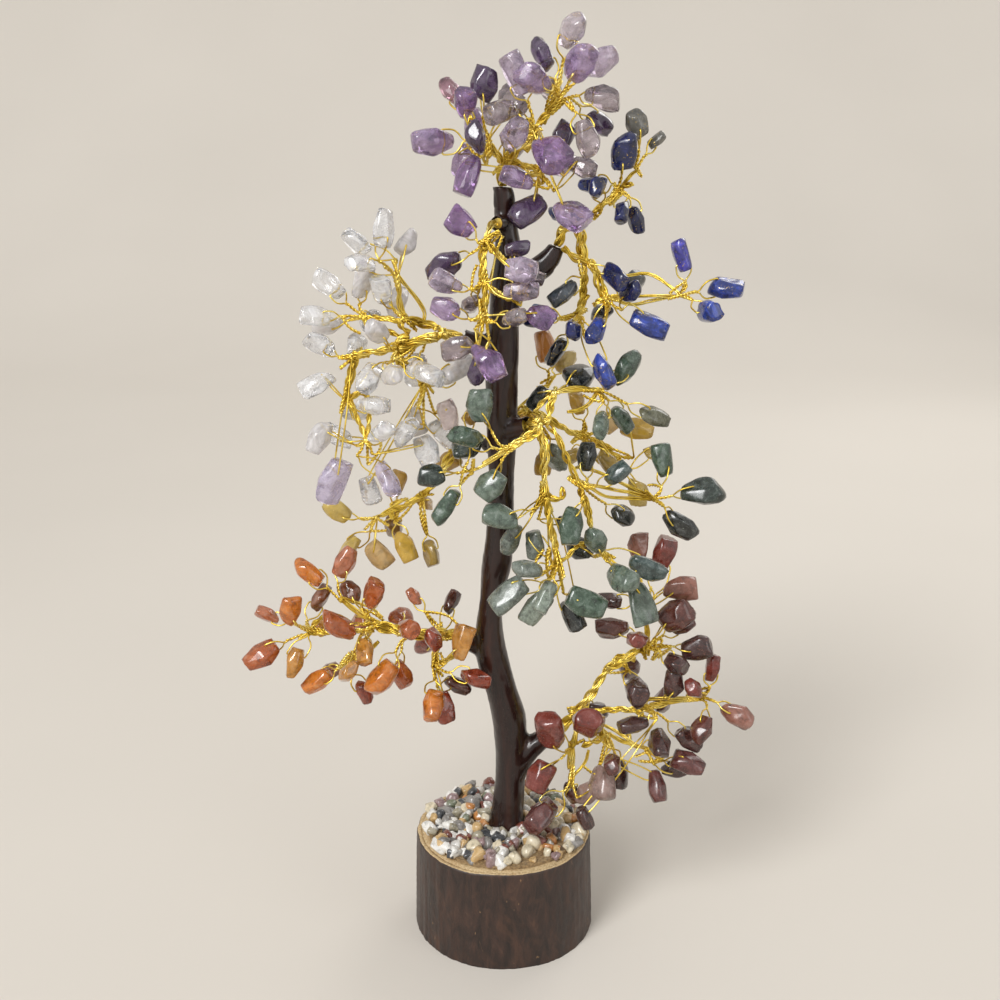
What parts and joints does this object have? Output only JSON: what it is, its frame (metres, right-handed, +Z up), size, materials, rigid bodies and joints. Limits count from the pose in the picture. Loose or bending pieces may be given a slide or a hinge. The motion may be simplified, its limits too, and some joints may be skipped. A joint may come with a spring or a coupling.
{
  "type": "gemstone tree ornament",
  "caption": "Table ornament: a lacquered wooden stem on a cut log with gravel, carrying bendable twisted brass wire branches of tumbled stone chips in bands of colour.",
  "frame": {"origin": "middle of the flat underside of the log base, on the surface that it stands on", "axes": "+X right and +Y away from the viewer in the picture's view, +Z up along the stem"},
  "size_m": [0.1705, 0.062, 0.3018],
  "materials": {
    "log_wood": "raw sawn end grain",
    "bark": "dark stained bark",
    "glue": "set clear glue with sand",
    "lacquered_wood": "dark gloss lacquer",
    "brass_wire": "bright twisted wire",
    "gravel_white": "tumbled gravel",
    "gravel_grey": "tumbled gravel",
    "gravel_amber": "tumbled gravel",
    "gravel_red": "tumbled gravel",
    "gravel_green": "tumbled gravel",
    "amethyst_crown_stone": "tumbled and polished",
    "amethyst_drop_stone": "tumbled and polished",
    "lapis_stone": "tumbled and polished",
    "quartz_stone": "tumbled and polished",
    "aventurine_stone": "tumbled and polished",
    "yellow_left_stone": "tumbled and polished",
    "yellow_right_stone": "tumbled and polished",
    "carnelian_stone": "tumbled and polished",
    "jasper_stone": "tumbled and polished"
  },
  "bodies": {
    "base": {"log_core": "log_wood", "log_bark": "bark", "glue_bed": "glue", "trunk": "lacquered_wood", "wire_roots": "brass_wire", "gravel_white": "gravel_white", "gravel_grey": "gravel_grey", "gravel_amber": "gravel_amber", "gravel_red": "gravel_red", "gravel_green": "gravel_green"},
    "amethyst_crown": {"amethyst_crown_stems": "brass_wire", "amethyst_crown_twigs": "brass_wire", "amethyst_crown_loops": "brass_wire", "amethyst_crown_chips": "amethyst_crown_stone"},
    "amethyst_drop": {"amethyst_drop_stems": "brass_wire", "amethyst_drop_twigs": "brass_wire", "amethyst_drop_loops": "brass_wire", "amethyst_drop_chips": "amethyst_drop_stone"},
    "lapis": {"lapis_stems": "brass_wire", "lapis_twigs": "brass_wire", "lapis_loops": "brass_wire", "lapis_chips": "lapis_stone"},
    "quartz": {"quartz_stems": "brass_wire", "quartz_twigs": "brass_wire", "quartz_loops": "brass_wire", "quartz_chips": "quartz_stone"},
    "aventurine": {"aventurine_stems": "brass_wire", "aventurine_twigs": "brass_wire", "aventurine_loops": "brass_wire", "aventurine_chips": "aventurine_stone"},
    "yellow_left": {"yellow_left_stems": "brass_wire", "yellow_left_twigs": "brass_wire", "yellow_left_loops": "brass_wire", "yellow_left_chips": "yellow_left_stone"},
    "yellow_right": {"yellow_right_stems": "brass_wire", "yellow_right_twigs": "brass_wire", "yellow_right_loops": "brass_wire", "yellow_right_chips": "yellow_right_stone"},
    "carnelian": {"carnelian_stems": "brass_wire", "carnelian_twigs": "brass_wire", "carnelian_loops": "brass_wire", "carnelian_chips": "carnelian_stone"},
    "jasper": {"jasper_stems": "brass_wire", "jasper_twigs": "brass_wire", "jasper_loops": "brass_wire", "jasper_chips": "jasper_stone"}
  },
  "joints": [
    {"name": "amethyst_crown_bend", "type": "hinge", "parent": "base", "child": "amethyst_crown", "pos_m": [-0.0009, 0, 0.252], "axis": [0, -1, 0], "range_deg": [-5, 5]},
    {"name": "amethyst_drop_bend", "type": "hinge", "parent": "base", "child": "amethyst_drop", "pos_m": [-0.00284, -0.00553, 0.24157], "axis": [-1, 0, 0], "range_deg": [-2, 8]},
    {"name": "lapis_bend", "type": "hinge", "parent": "base", "child": "lapis", "pos_m": [0.01583, 0.0004, 0.23428], "axis": [0, -1, 0], "range_deg": [-4, 4]},
    {"name": "quartz_bend", "type": "hinge", "parent": "base", "child": "quartz", "pos_m": [-0.01348, -0.00002, 0.206], "axis": [0, 1, 0], "range_deg": [-3, 12]},
    {"name": "aventurine_bend", "type": "hinge", "parent": "base", "child": "aventurine", "pos_m": [0.00759, -0.00697, 0.18003], "axis": [-0.6157, -0.788, 0], "range_deg": [-5, 6]},
    {"name": "yellow_left_bend", "type": "hinge", "parent": "base", "child": "yellow_left", "pos_m": [-0.00633, 0.00611, 0.17133], "axis": [0.766, 0.6428, 0], "range_deg": [-9, 12]},
    {"name": "yellow_right_bend", "type": "hinge", "parent": "base", "child": "yellow_right", "pos_m": [0.00362, 0.00706, 0.17933], "axis": [-0.866, 0.5, 0], "range_deg": [-6, 9]},
    {"name": "carnelian_bend", "type": "hinge", "parent": "base", "child": "carnelian", "pos_m": [-0.01298, 0.00214, 0.10509], "axis": [0.1219, 0.9925, 0], "range_deg": [-10, 12]},
    {"name": "jasper_bend", "type": "hinge", "parent": "base", "child": "jasper", "pos_m": [0.0174, 0.00084, 0.0714], "axis": [0.0349, -0.9994, 0], "range_deg": [-12, 10]}
  ]
}
